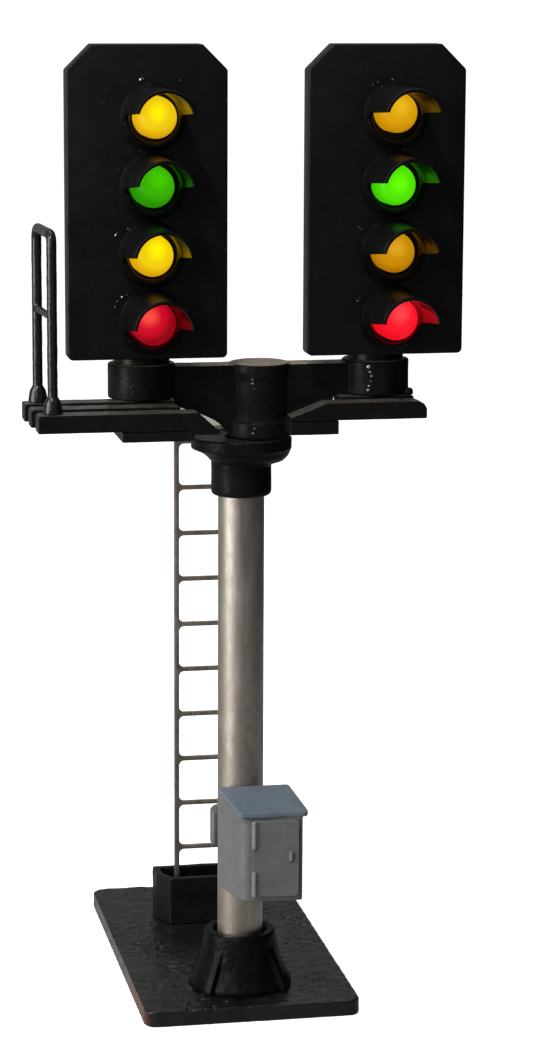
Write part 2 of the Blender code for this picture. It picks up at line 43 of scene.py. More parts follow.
# ------------------------------------------------------------------ mesh tools
def make(name, verts, faces, recalc=True):
    me = bpy.data.meshes.new(name)
    me.from_pydata([tuple(v) for v in verts], [], faces)
    if recalc:
        bm = bmesh.new()
        bm.from_mesh(me)
        bmesh.ops.recalc_face_normals(bm, faces=bm.faces)
        bm.to_mesh(me)
        bm.free()
    ob = bpy.data.objects.new(name, me)
    bpy.context.scene.collection.objects.link(ob)
    return ob


def prism(name, pts, axis, a0, a1):
    n = len(pts)
    v = []
    for a in (a0, a1):
        for p, q in pts:
            v.append({"x": (a, p, q), "y": (p, a, q), "z": (p, q, a)}[axis])
    f = [tuple(range(n)), tuple(range(2 * n - 1, n - 1, -1))]
    for i in range(n):
        j = (i + 1) % n
        f.append((i, j, n + j, n + i))
    return make(name, v, f)


def block(name, x0, x1, y0, y1, z0, z1):
    return prism(name, [(x0, y0), (x1, y0), (x1, y1), (x0, y1)], "z", z0, z1)


def rounded(x0, x1, y0, y1, r, seg=8, corners=(1, 1, 1, 1)):
    pts = []
    for k, (cx, cy, a) in enumerate(((x0 + r, y0 + r, 180), (x1 - r, y0 + r, 270),
                                     (x1 - r, y1 - r, 0), (x0 + r, y1 - r, 90))):
        if corners[k]:
            for i in range(seg + 1):
                t = R(a + 90.0 * i / seg)
                pts.append((cx + r * math.cos(t), cy + r * math.sin(t)))
        else:
            pts.append(((x0, x1, x1, x0)[k], (y0, y0, y1, y1)[k]))
    return pts


def round_corners(pts, radii, seg=8):
    out = []
    n = len(pts)
    for k in range(n):
        p = Vector(pts[k])
        r = radii[k] if not isinstance(radii, (int, float)) else radii
        if r <= 0:
            out.append(tuple(p))
            continue
        a = p + (Vector(pts[k - 1]) - p).normalized() * r
        b = p + (Vector(pts[(k + 1) % n]) - p).normalized() * r
        for i in range(seg + 1):
            t = i / seg
            out.append(tuple((1 - t) ** 2 * a + 2 * t * (1 - t) * p + t * t * b))
    return out


def lathe(name, profile, centre=(0.0, 0.0), seg=96, axis="z"):
    v, rings = [], []
    for r, h in profile:
        if r < 1e-6:
            rings.append([len(v)])
            pts = [(0.0, 0.0)]
        else:
            rings.append(list(range(len(v), len(v) + seg)))
            pts = [(r * math.cos(2 * math.pi * i / seg), r * math.sin(2 * math.pi * i / seg)) for i in range(seg)]
        for p, q in pts:
            if axis == "z":
                v.append((centre[0] + p, centre[1] + q, h))
            else:
                v.append((centre[0] + p, h, centre[1] + q))
    f = []
    n = len(profile)
    for k in range(n):
        a, b = rings[k], rings[(k + 1) % n]
        if len(a) == 1 and len(b) == 1:
            continue
        for i in range(seg):
            j = (i + 1) % seg
            if len(a) == 1:
                f.append((a[0], b[i], b[j]))
            elif len(b) == 1:
                f.append((a[i], b[0], a[j]))
            else:
                f.append((a[i], b[i], b[j], a[j]))
    return make(name, v, f)


def rod(name, r, h0, h1, centre=(0.0, 0.0), seg=64, axis="z"):
    return lathe(name, [(0, h0), (r, h0), (r, h1), (0, h1)], centre, seg, axis)


def sweep(name, path, r, seg=24):
    pts = [Vector(p) for p in path]
    v, f = [], []
    side = None
    for k, p in enumerate(pts):
        if k == 0:
            d = (pts[1] - p).normalized()
        elif k == len(pts) - 1:
            d = (p - pts[k - 1]).normalized()
        else:
            d = ((pts[k + 1] - p).normalized() + (p - pts[k - 1]).normalized()).normalized()
        if side is None:
            side = d.orthogonal().normalized()
        side = (side - d * side.dot(d)).normalized()
        other = d.cross(side)
        for i in range(seg):
            t = 2 * math.pi * i / seg
            v.append(tuple(p + side * (r * math.cos(t)) + other * (r * math.sin(t))))
    n = len(pts)
    for k in range(n - 1):
        for i in range(seg):
            j = (i + 1) % seg
            f.append((k * seg + i, k * seg + j, (k + 1) * seg + j, (k + 1) * seg + i))
    f.append(tuple(range(seg - 1, -1, -1)))
    f.append(tuple(range((n - 1) * seg, n * seg)))
    return make(name, v, f)


def arc_path(points, radius, seg=10):
    pts = [Vector(p) for p in points]
    out = [pts[0]]
    for k in range(1, len(pts) - 1):
        a = (pts[k - 1] - pts[k]).normalized()
        b = (pts[k + 1] - pts[k]).normalized()
        r = min(radius, 0.45 * (pts[k - 1] - pts[k]).length, 0.45 * (pts[k + 1] - pts[k]).length)
        p0, p1 = pts[k] + a * r, pts[k] + b * r
        for i in range(seg + 1):
            t = i / seg
            out.append((1 - t) ** 2 * p0 + 2 * t * (1 - t) * pts[k] + t * t * p1)
    out.append(pts[-1])
    return [tuple(p) for p in out]


def bake(ob):
    """Keeps the result of the modifiers as the mesh."""
    bpy.context.view_layer.update()
    dg = bpy.context.evaluated_depsgraph_get()
    me = bpy.data.meshes.new_from_object(ob.evaluated_get(dg))
    old = ob.data
    ob.modifiers.clear()
    ob.data = me
    bpy.data.meshes.remove(old)
    me.name = ob.name
    return ob


def combine(ob, tools, kind):
    for tool in tools:
        mod = ob.modifiers.new("b", "BOOLEAN")
        mod.operation = kind
        mod.solver = "EXACT"
        mod.object = tool
        bake(ob)
        bpy.data.objects.remove(tool, do_unlink=True)
    return ob


def join(ob, *tools):
    return combine(ob, tools, "UNION")


def cut(ob, *tools):
    return combine(ob, tools, "DIFFERENCE")


def bevel(ob, width, seg=3, angle=35):
    mod = ob.modifiers.new("v", "BEVEL")
    mod.width = width
    mod.segments = seg
    mod.limit_method = "ANGLE"
    mod.angle_limit = R(angle)
    mod.harden_normals = False
    return bake(ob)


def voxel(ob, size, smooth=2, factor=0.5):
    """Turns a hard shape into one even, soft-edged skin, as on a painted casting."""
    mod = ob.modifiers.new("r", "REMESH")
    mod.mode = "VOXEL"
    mod.voxel_size = size
    mod.adaptivity = 0.0
    bake(ob)
    if smooth:
        mod = ob.modifiers.new("s", "SMOOTH")
        mod.factor = factor
        mod.iterations = smooth
        bake(ob)
    return ob


def uneven(ob, layers, fn=None):
    """Moves the skin in and out along its normals: layers of (amount, features per mm)."""
    me = ob.data
    me.update()
    normals = [v.normal.copy() for v in me.vertices]
    for v, n in zip(me.vertices, normals):
        d = 0.0
        for k, (amount, freq) in enumerate(layers):
            d += amount * noise.noise(v.co * freq + Vector((13.1 * k, 7.7, 3.3)))
        if fn is not None:
            d += fn(v.co, n)
        v.co = v.co + n * d
    me.update()
    return ob


# ------------------------------------------------------------------- materials
def new_material(name):
    m = bpy.data.materials.new(name)
    m.use_nodes = True
    nt = m.node_tree
    b = nt.nodes.get("Principled BSDF")
    tc = nt.nodes.new("ShaderNodeTexCoord")
    return m, nt, b, tc.outputs["Object"]


def mapped(nt, vec, scale=(1, 1, 1), loc=(0, 0, 0)):
    mp = nt.nodes.new("ShaderNodeMapping")
    mp.inputs["Scale"].default_value = scale
    mp.inputs["Location"].default_value = loc
    nt.links.new(vec, mp.inputs["Vector"])
    return mp.outputs["Vector"]


def tex(nt, vec, scale, detail=5.0, rough=0.6, distort=0.0):
    n = nt.nodes.new("ShaderNodeTexNoise")
    n.inputs["Scale"].default_value = scale
    n.inputs["Detail"].default_value = detail
    n.inputs["Roughness"].default_value = rough
    n.inputs["Distortion"].default_value = distort
    nt.links.new(vec, n.inputs["Vector"])
    return n.outputs[0]


def ramp(nt, src, stops, mode="LINEAR"):
    r = nt.nodes.new("ShaderNodeValToRGB")
    r.color_ramp.interpolation = mode
    el = r.color_ramp.elements
    while len(el) < len(stops):
        el.new(0.5)
    for e, (p, c) in zip(el, stops):
        e.position = p
        if isinstance(c, (int, float)):
            c = (c, c, c)
        e.color = (c[0], c[1], c[2], 1.0)
    nt.links.new(src, r.inputs["Fac"])
    return r.outputs["Color"]


def mixc(nt, fac, a, b, mode="MIX"):
    m = nt.nodes.new("ShaderNodeMixRGB")
    m.blend_type = mode
    for src, sock in ((fac, "Fac"), (a, "Color1"), (b, "Color2")):
        if isinstance(src, (int, float)):
            m.inputs[sock].default_value = src
        elif isinstance(src, tuple):
            m.inputs[sock].default_value = (src[0], src[1], src[2], 1.0)
        else:
            nt.links.new(src, m.inputs[sock])
    return m.outputs["Color"]


def bump(nt, b, layers, distance=0.00005):
    """layers: (height source, strength); chained bump nodes."""
    last = None
    for src, strength in layers:
        n = nt.nodes.new("ShaderNodeBump")
        n.inputs["Strength"].default_value = strength
        n.inputs["Distance"].default_value = distance
        nt.links.new(src, n.inputs["Height"])
        if last is not None:
            nt.links.new(last, n.inputs["Normal"])
        last = n.outputs["Normal"]
    nt.links.new(last, b.inputs["Normal"])


def facing(nt, axis, stops):
    """A mask of how far the surface faces along an axis (0 x, 1 y, 2 z), from -1..1 mapped to 0..1."""
    g = nt.nodes.new("ShaderNodeNewGeometry")
    sp = nt.nodes.new("ShaderNodeSeparateXYZ")
    nt.links.new(g.outputs["Normal"], sp.inputs[0])
    mr = nt.nodes.new("ShaderNodeMapRange")
    mr.inputs["From Min"].default_value = -1.0
    mr.inputs["From Max"].default_value = 1.0
    nt.links.new(sp.outputs[axis], mr.inputs["Value"])
    return ramp(nt, mr.outputs["Result"], stops)


def black_paint(name, dark, light, rough, spec=0.25, grain=0.25, dust=0.0, fleck=2200, fine=5200,
                dust_colour=(0.05, 0.045, 0.04), top_dust_and_sheen=None, above=None):
    m, nt, b, vec = new_material(name)
    cloud = tex(nt, vec, 420, 6, 0.6, 0.4)
    base = ramp(nt, cloud, [(0.32, dark), (0.68, light)])
    # Upward faces take a paler colour in patches: partly dust, partly a painted sheen for the light that tops catch.
    # above limits it to faces higher than that height.
    if top_dust_and_sheen is not None:
        lay = mixc(nt, 1.0, facing(nt, 2, [(0.88, 0.0), (0.985, 1.0)]),
                   ramp(nt, tex(nt, mapped(nt, vec, loc=(0.7, 0.7, 0.1)), 1100, 5, 0.65), [(0.30, 0.35), (0.62, 1.0)]), "MULTIPLY")
        if above is not None:
            sp = nt.nodes.new("ShaderNodeSeparateXYZ")
            nt.links.new(vec, sp.inputs[0])
            mr = nt.nodes.new("ShaderNodeMapRange")
            mr.inputs["From Min"].default_value = above - 0.0004
            mr.inputs["From Max"].default_value = above
            nt.links.new(sp.outputs[2], mr.inputs["Value"])
            lay = mixc(nt, 1.0, lay, mr.outputs["Result"], "MULTIPLY")
        base = mixc(nt, lay, base, top_dust_and_sheen)
    if dust > 0:
        specks = tex(nt, mapped(nt, vec, loc=(0.3, 0.1, 0.7)), fleck, 4, 0.7)
        mask = ramp(nt, specks, [(0.58, 0.0), (0.74, dust)])
        base = mixc(nt, mask, base, dust_colour)
    nt.links.new(base, b.inputs["Base Color"])
    patches = tex(nt, mapped(nt, vec, loc=(0.9, 0.4, 0.2)), 900, 5, 0.65)
    nt.links.new(ramp(nt, patches, [(0.3, rough[0]), (0.7, rough[1])]), b.inputs["Roughness"])
    b.inputs["Specular IOR Level"].default_value = spec
    bump(nt, b, [(tex(nt, vec, fine, 3, 0.6), grain), (tex(nt, vec, 1300, 4, 0.55), grain * 0.8)], 0.00002)
    return m


def grey_paint(name, dark, light, rough=(0.5, 0.68), grain=0.3, spec=0.3, fine=6000):
    m, nt, b, vec = new_material(name)
    cloud = tex(nt, vec, 520, 6, 0.62, 0.3)
    base = ramp(nt, cloud, [(0.3, dark), (0.7, light)])
    specks = tex(nt, mapped(nt, vec, loc=(0.2, 0.6, 0.1)), 3600, 3, 0.6)
    base = mixc(nt, ramp(nt, specks, [(0.42, 0.0), (0.7, 0.35)]), base, tuple(0.62 * c for c in dark))
    nt.links.new(base, b.inputs["Base Color"])
    nt.links.new(ramp(nt, tex(nt, vec, 1500, 4), [(0.3, rough[0]), (0.7, rough[1])]), b.inputs["Roughness"])
    b.inputs["Specular IOR Level"].default_value = spec
    bump(nt, b, [(tex(nt, vec, fine, 3, 0.6), grain), (tex(nt, vec, 1800, 4, 0.6), grain)], 0.00002)
    return m


def nickel(name, a, c, rough, metal=1.0, stretch=(1, 1, 1), spots=(0.30, 0.24, 0.19), spot=0.35, grain=0.25, big=260):
    """Plated metal with soft tarnish and fine lengthwise marks."""
    m, nt, b, vec = new_material(name)
    cloud = tex(nt, mapped(nt, vec, stretch), big, 7, 0.62, 0.8)
    base = ramp(nt, cloud, [(0.28, a), (0.52, tuple((p + q) / 2 for p, q in zip(a, c))), (0.75, c)])
    mott = tex(nt, mapped(nt, vec, (1.0, 1.0, 0.55), (0.5, 0.2, 0.8)), 1150, 7, 0.72, 0.9)
    base = mixc(nt, ramp(nt, mott, [(0.47, 0.0), (0.66, spot)]), base, spots)
    nt.links.new(base, b.inputs["Base Color"])
    lines = tex(nt, mapped(nt, vec, (1.0, 1.0, 0.08)), 4200, 3, 0.6)
    rg = mixc(nt, 0.4, ramp(nt, mott, [(0.3, rough[0]), (0.7, rough[1])]), ramp(nt, lines, [(0.3, rough[0]), (0.7, rough[1])]))
    nt.links.new(rg, b.inputs["Roughness"])
    b.inputs["Metallic"].default_value = metal
    bump(nt, b, [(lines, grain), (tex(nt, vec, 1700, 5, 0.65), grain)], 0.000015)
    return m


def lens(name, centre, core, body, rim, strength=1.0, lit=(-0.15, 0.35), seed=0.0):
    """A moulded lamp lit from inside: brightest over the lamp, deeper towards its rim."""
    m, nt, b, vec = new_material(name)
    k = 1.0 / (1.66 * 0.001)
    cx = (centre[0] + lit[0] * 1.76) * 0.001
    cz = (centre[1] + lit[1] * 1.76) * 0.001
    mp = mapped(nt, vec, (k, 0.0, k), (-cx * k, 0.0, -cz * k))
    g = nt.nodes.new("ShaderNodeTexGradient")
    g.gradient_type = "SPHERICAL"
    sc = mapped(nt, mp, (0.76, 0.76, 0.76))
    nt.links.new(sc, g.inputs["Vector"])
    grain = tex(nt, mapped(nt, vec, loc=(seed, seed * 0.7, 0.0)), 1400, 4, 0.6)
    fac = mixc(nt, 0.10, g.outputs["Fac"], grain)
    col = ramp(nt, fac, [(0.10, rim), (0.48, body), (0.90, core)], "EASE")
    nt.links.new(col, b.inputs["Emission Color"])
    b.inputs["Emission Strength"].default_value = strength
    nt.links.new(mixc(nt, 0.8, col, (0.0, 0.0, 0.0)), b.inputs["Base Color"])
    nt.links.new(ramp(nt, grain, [(0.3, 0.22), (0.7, 0.34)]), b.inputs["Roughness"])
    b.inputs["Specular IOR Level"].default_value = 0.1
    bump(nt, b, [(tex(nt, vec, 2600, 3, 0.5), 0.12)], 0.00002)
    return m


M_HEAD = black_paint("head_black_satin", (0.0062, 0.0060, 0.0064), (0.0092, 0.0088, 0.0088), (0.26, 0.38), 0.25, 0.12, 0.25, 1500)
M_HOOD = black_paint("hood_black_satin", (0.0040, 0.0040, 0.0046), (0.0066, 0.0065, 0.0068), (0.30, 0.46), 0.09, 0.4, 0.3, 1800)
M_HOOD_IN = black_paint("hood_lining_satin", (0.0035, 0.0035, 0.0038), (0.0050, 0.0048, 0.0048), (0.10, 0.20), 0.06, 0.03, 0.0)
M_HOOD_IN_RED = black_paint("hood_lining_polished", (0.0035, 0.0035, 0.0038), (0.0050, 0.0048, 0.0048), (0.05, 0.12), 0.75, 0.02, 0.0)
# Painted sheen: the bracket's top faces above 52.2 mm are painted a pale warm brown, partly dust and partly the light
# the arm tops catch.
M_CAST = black_paint("casting_black", (0.0084, 0.0084, 0.0086), (0.0150, 0.0146, 0.0136), (0.22, 0.40), 0.11, 0.45, 0.35, 1700, 5200, (0.05, 0.045, 0.04), (0.50, 0.39, 0.28), 0.0522)
# The collar's upward faces take a faint warm top colour: partly dust, partly painted sheen.
M_COLLAR = black_paint("collar_black", (0.0074, 0.0074, 0.0074), (0.0130, 0.0127, 0.0118), (0.22, 0.40), 0.10, 0.45, 0.35, 1700, 5200, (0.05, 0.045, 0.04), (0.045, 0.038, 0.031))
# Painted glints: bright, near-white metal specks put where the glints fall on the bracket and hoods. Their shine is
# partly real reflection and partly painted brightness.
M_GLINT_FLECK, nt, b, vec = new_material("casting_glint_fleck")
nt.links.new(ramp(nt, tex(nt, vec, 2600, 4), [(0.35, (0.16, 0.16, 0.13)), (0.68, (0.78, 0.77, 0.66))]), b.inputs["Base Color"])
b.inputs["Metallic"].default_value = 0.9
b.inputs["Roughness"].default_value = 0.26
# Painted reflection: the slat tops are painted light grey for the bright light they reflect at a grazing angle.
M_SLAT = black_paint("walkway_black", (0.0060, 0.0060, 0.0060), (0.0105, 0.0100, 0.0095), (0.22, 0.38), 0.22, 0.4, 0.3, 1700, 5200, (0.05, 0.045, 0.04), (0.145, 0.130, 0.108))
M_RAIL = black_paint("handrail_black", (0.0085, 0.0082, 0.0080), (0.0150, 0.0140, 0.0125), (0.16, 0.30), 0.6, 0.45, 0.4, 2200)
M_SOCK = black_paint("socket_black", (0.0040, 0.0040, 0.0044), (0.0075, 0.0070, 0.0068), (0.24, 0.44), 0.08, 0.5, 0.2, 1700)
M_LBOX = black_paint("ladder_box_black", (0.0045, 0.0045, 0.0048), (0.0090, 0.0085, 0.0080), (0.30, 0.48), 0.3, 0.3, 0.3, 1700)
M_BASE = black_paint("base_black", (0.0055, 0.0057, 0.0060), (0.0138, 0.0142, 0.0147), (0.16, 0.40), 0.45, 0.5, 0.4, 1500, 3800, (0.05, 0.046, 0.042))
nt = M_BASE.node_tree
b = nt.nodes.get("Principled BSDF")
vec = [n for n in nt.nodes if n.type == "TEX_COORD"][0].outputs["Object"]
old = b.inputs["Base Color"].links[0].from_socket
# Painted reflection: the base's left side face (facing -X) is tinted in patches, orange-brown at the front to
# lavender-grey at the back, for the warm light it reflects.
along = nt.nodes.new("ShaderNodeSeparateXYZ")
nt.links.new(vec, along.inputs[0])
span = nt.nodes.new("ShaderNodeMapRange")
span.inputs["From Min"].default_value = -0.0062
span.inputs["From Max"].default_value = 0.0266
nt.links.new(along.outputs[1], span.inputs["Value"])
side_reflection_tint = ramp(nt, span.outputs["Result"], [(0.0, (0.23, 0.085, 0.035)), (0.22, (0.22, 0.13, 0.085)), (0.45, (0.17, 0.15, 0.16)), (1.0, (0.13, 0.125, 0.14))])
spot = ramp(nt, tex(nt, mapped(nt, vec, (1, 1, 2.2)), 900, 5, 0.7), [(0.30, 0.15), (0.60, 1.0)])
mask = mixc(nt, 1.0, facing(nt, 0, [(0.02, 1.0), (0.16, 0.0)]), spot, "MULTIPLY")
nt.links.new(mixc(nt, mask, old, side_reflection_tint), b.inputs["Base Color"])
M_MAST = nickel("mast_nickel_plate", (0.47, 0.400, 0.34), (0.76, 0.73, 0.65), (0.34, 0.58), 1.0, (1, 1, 0.35), (0.40, 0.30, 0.24), 0.6, 0.4, 380)
M_LADDER = nickel("ladder_nickel_silver", (0.38, 0.32, 0.27), (0.66, 0.59, 0.52), (0.40, 0.60), 0.95, (1, 1, 0.6), (0.15, 0.115, 0.085), 0.7, 0.4, 520)
# Painted light: the landing takes a pale cream, less metallic copy of the ladder's nickel silver so that its top reads
# as brightly lit.
M_LAND_LIT = nickel("landing_nickel_silver_lit", (0.80, 0.77, 0.62), (0.95, 0.92, 0.78), (0.40, 0.55), 0.25, (1, 1, 1), (0.6, 0.55, 0.42), 0.25, 0.2)
M_CAB = grey_paint("cabinet_grey_paint", (0.170, 0.173, 0.175), (0.220, 0.222, 0.222))
# Painted shade: the door takes a darker copy of the cabinet paint so the front reads as turned away from the light.
M_DOOR_SHADED = grey_paint("cabinet_door_paint_shaded", (0.150, 0.152, 0.154), (0.196, 0.198, 0.197))
M_ROOF = grey_paint("cabinet_roof_paint", (0.140, 0.180, 0.225), (0.190, 0.235, 0.285), (0.42, 0.60))
M_HINGE = grey_paint("cabinet_fitting_paint", (0.25, 0.252, 0.252), (0.33, 0.33, 0.325), (0.42, 0.58))

m, nt, b, vec = new_material("solder_mask")
nt.links.new(ramp(nt, tex(nt, vec, 700, 5), [(0.3, (0.010, 0.085, 0.040)), (0.7, (0.018, 0.13, 0.055))]), b.inputs["Base Color"])
nt.links.new(ramp(nt, tex(nt, vec, 1500, 4), [(0.3, 0.3), (0.7, 0.45)]), b.inputs["Roughness"])
bump(nt, b, [(tex(nt, vec, 3000, 3), 0.2)], 0.00002)
M_PCB = m


def sleeve(name, a, c):
    m, nt, b, vec = new_material(name)
    nt.links.new(ramp(nt, tex(nt, vec, 900, 4), [(0.3, a), (0.7, c)]), b.inputs["Base Color"])
    nt.links.new(ramp(nt, tex(nt, vec, 2500, 4), [(0.3, 0.4), (0.7, 0.55)]), b.inputs["Roughness"])
    bump(nt, b, [(tex(nt, vec, 4000, 3), 0.2)], 0.00001)
    return m


M_WIRE = {"left": sleeve("lead_red", (0.38, 0.030, 0.020), (0.48, 0.045, 0.03)),
          "right": sleeve("lead_ochre", (0.34, 0.24, 0.05), (0.43, 0.31, 0.07))}


# ----------------------------------------------------------------- bookkeeping
def settle(ob, nodes, body, mats, angle=40, smooth=True):
    """Scales a finished piece to metres, gives it its finish and puts it in its node's place."""
    ob.data.transform(SCALE)
    me = ob.data
    if not isinstance(mats, (list, tuple)):
        mats = [mats]
    if len(mats) != len(me.materials) or any(x is None for x in me.materials):
        me.materials.clear()
        for m in mats:
            me.materials.append(m)
    if smooth:
        me.shade_smooth()
        if angle < 179:
            me.set_sharp_from_angle(angle=R(angle))
    me.update()
    if isinstance(nodes, str):
        nodes = (nodes,)
    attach(ob, body)
    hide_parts(*nodes)
    return ob


# ------------------------------------------------------------ camera and stage
F, PX, PY, D = 3000.0, 240.966, 392.872, 237.113
YAW, PITCH, ROLL = R(-10.825), R(10.633), R(0.256)
back = Vector((math.sin(YAW) * math.cos(PITCH), -math.cos(YAW) * math.cos(PITCH), math.sin(PITCH)))
right = Vector((math.cos(YAW), math.sin(YAW), 0.0))
up = back.cross(right)
r2 = math.cos(ROLL) * right + math.sin(ROLL) * up
u2 = -math.sin(ROLL) * right + math.cos(ROLL) * up
eye = Vector((0, 0, 50)) - r2 * ((PX - 266.0) / F * D) + u2 * ((PY - 520.0) / F * D) + back * D
cam_data = bpy.data.cameras.new("camera")
cam = bpy.data.objects.new("camera", cam_data)
bpy.context.scene.collection.objects.link(cam)
cam_data.sensor_width = 36.0
cam_data.lens = F * 36.0 / 1040.0
cam_data.clip_start = 0.01
cam_data.clip_end = 20.0
cam.matrix_world = Matrix.Translation(eye * 0.001) @ Matrix((r2, u2, back)).transposed().to_4x4()
bpy.context.scene.camera = cam

# a pale sheet that runs under the model and curves up behind it
prof = [(-70.0, 0.0)]
for i in range(0, 40):
    prof.append((-70.0 + 570.0 * (i + 1) / 40.0, 0.0))
for i in range(1, 25):
    t = R(90.0 * i / 24)
    prof.append((500.0 + 320.0 * math.sin(t), 320.0 * (1 - math.cos(t))))
prof.append((820.0, 900.0))
xs = [-900.0 + 60.0 * i for i in range(31)]
verts = [(x, y, z - 0.02) for y, z in prof for x in xs]
faces = []
for j in range(len(prof) - 1):
    for i in range(len(xs) - 1):
        a = j * len(xs) + i
        faces.append((a, a + 1, a + 1 + len(xs), a + len(xs)))
floor = make("floor", verts, faces, False)
floor.data.transform(SCALE)
floor.data.shade_smooth()
m, nt, b, vec = new_material("pale_sheet")
nt.links.new(ramp(nt, tex(nt, vec, 25, 4), [(0.3, (0.86, 0.86, 0.86)), (0.7, (0.90, 0.90, 0.90))]), b.inputs["Base Color"])
b.inputs["Roughness"].default_value = 0.9
b.inputs["Specular IOR Level"].default_value = 0.1
b.inputs["Emission Color"].default_value = (1.0, 1.0, 1.0, 1.0)
b.inputs["Emission Strength"].default_value = 0.85
floor.data.materials.append(m)
floor.visible_diffuse = False
floor.visible_glossy = False

# what the sheet throws back onto the model is dimmer than the sheet itself
bounce = bpy.data.objects.new("floor_bounce", floor.data.copy())
bpy.context.scene.collection.objects.link(bounce)
bounce.visible_camera = False
bounce.visible_shadow = False
m, nt, b, vec = new_material("dim_sheet")
nt.links.new(ramp(nt, tex(nt, vec, 25, 4), [(0.3, (0.26, 0.26, 0.26)), (0.7, (0.30, 0.30, 0.30))]), b.inputs["Base Color"])
b.inputs["Roughness"].default_value = 0.9
b.inputs["Specular IOR Level"].default_value = 0.0
b.inputs["Emission Color"].default_value = (1.0, 1.0, 1.0, 1.0)
b.inputs["Emission Strength"].default_value = 0.17
bounce.data.materials.clear()
bounce.data.materials.append(m)
bounce.data.transform(Matrix.Translation((0.0, 0.0, -0.0003)))

world = bpy.data.worlds.new("studio")
bpy.context.scene.world = world
world.use_nodes = True
bg = world.node_tree.nodes.get("Background")
bg.inputs["Color"].default_value = (0.93, 0.96, 1.0, 1.0)
bg.inputs["Strength"].default_value = 0.11


def area(name, target, azimuth, elevation, distance, w, h, power, colour=(1, 1, 1)):
    """azimuth is measured from the front (-Y) towards +X."""
    ld = bpy.data.lights.new(name, "AREA")
    ld.shape = "RECTANGLE"
    ld.size, ld.size_y = w, h
    ld.energy = power
    ld.color = colour
    ob = bpy.data.objects.new(name, ld)
    a, e = R(azimuth), R(elevation)
    pos = Vector(target) + Vector((math.sin(a) * math.cos(e), -math.cos(a) * math.cos(e), math.sin(e))) * distance
    ob.location = pos
    ob.rotation_euler = (Vector(target) - pos).to_track_quat("-Z", "Y").to_euler()
    bpy.context.scene.collection.objects.link(ob)
    return ob


MID = (0.0, 0.0, 0.045)
# a dark card to the right keeps that side of the round parts deep; the camera doesn't see it
card = make("dark_card", [(95, -140, -1), (150, 260, -1), (150, 260, 150), (95, -140, 150)], [(0, 1, 2, 3)], False)
card.data.transform(SCALE)
card.visible_camera = False
card.visible_shadow = False
m, nt, b, vec = new_material("dark_card")
nt.links.new(ramp(nt, tex(nt, vec, 30, 3), [(0.3, (0.01, 0.01, 0.01)), (0.7, (0.015, 0.015, 0.015))]), b.inputs["Base Color"])
b.inputs["Roughness"].default_value = 0.9
b.inputs["Specular IOR Level"].default_value = 0.0
card.data.materials.append(m)
area("key", MID, -72, 16, 0.42, 0.24, 0.42, 1.66, (1.0, 0.99, 0.965))
area("spark", (0.0, 0.0, 0.055), -30, 52, 0.40, 0.030, 0.030, 0.45, (0.97, 0.98, 1.0))
area("strip", (0.0, 0.0, 0.050), -34, 16, 0.40, 0.020, 0.16, 0.10, (1.0, 0.99, 0.97))
area("fill", MID, 48, 28, 0.55, 0.20, 0.28, 0.05, (1.0, 0.97, 0.94))
area("top", MID, 165, 76, 0.42, 0.34, 0.34, 0.50, (0.93, 0.965, 1.0))
bpy.context.scene.view_settings.view_transform = "Standard"
bpy.context.scene.view_settings.look = "None"

# ------------------------------------------------------------------ base plate
BASE_T = 1.3
base = prism("fine_base_plate", rounded(-8.7, 8.85, -6.2, 26.6, 1.1, 10), "z", 0.0, BASE_T)
cut(base, prism("c", rounded(-0.8, 0.8, 0.38, 1.28, 0.4, 6), "z", -1, BASE_T + 1),
    block("c", -0.8, 0.8, 0.83, 28.0, -1, 0.6))
voxel(base, 0.10, 3)


def pebble(co, n):
    if n.z < 0.3:
        return 0.020 * noise.noise(co * 2.2) + 0.010 * noise.noise(co * 5.0)
    streak = noise.noise(Vector((co.x * 0.50, co.y * 2.0, 1.7)))
    d = 0.030 * streak + 0.030 * noise.noise(co * 1.3) + 0.012 * noise.noise(co * 4.2)
    rough = max(0.0, min(1.0, 0.5 + 1.6 * noise.noise(co * 0.16 + Vector((2.0, 5.0, 1.0)))))
    pit = noise.noise(Vector((co.x * 1.25, co.y * 1.9, 9.3)))
    d -= 0.42 * max(0.0, pit - 0.30) * rough
    pit2 = noise.noise(Vector((co.x * 2.6, co.y * 3.1, 4.1)))
    d -= 0.30 * max(0.0, pit2 - 0.28) * rough
    ridge = 1.0 - abs(noise.noise(Vector((co.x * 0.9, co.y * 1.5, 6.6))))
    d += 0.030 * max(0.0, ridge - 0.86) / 0.14 * rough
    return d * n.z


uneven(base, [], pebble)
settle(base, "base_plate", "mast", M_BASE, 180)

# ---------------------------------------------------------------- mast socket
z0 = BASE_T + 0.04
sp = [(1.88, z0 + 0.8), (1.35, z0 + 0.8), (1.35, z0), (4.2, z0), (4.2, z0 + 0.35), (3.85, z0 + 0.9),
      (3.45, z0 + 1.8), (3.15, z0 + 2.9), (2.98, z0 + 3.9), (2.9, 5.7), (2.78, 5.9), (2.22, 5.9), (1.88, 5.2)]
socket = lathe("fine_mast_socket", sp, seg=96)
for k in range(4):
    rib = prism("r", [(2.3, z0 + 0.02), (4.65, z0 + 0.02), (4.65, z0 + 0.4), (2.95, 4.9), (2.3, 4.9)], "y", -0.36, 0.36)
    rib.data.transform(Matrix.Rotation(R(45 + 90 * k), 4, "Z"))
    join(socket, rib)
voxel(socket, 0.075, 2)
uneven(socket, [(0.040, 0.9), (0.020, 2.4), (0.008, 4.5)])
settle(socket, "mast_socket", "mast", M_SOCK, 180)

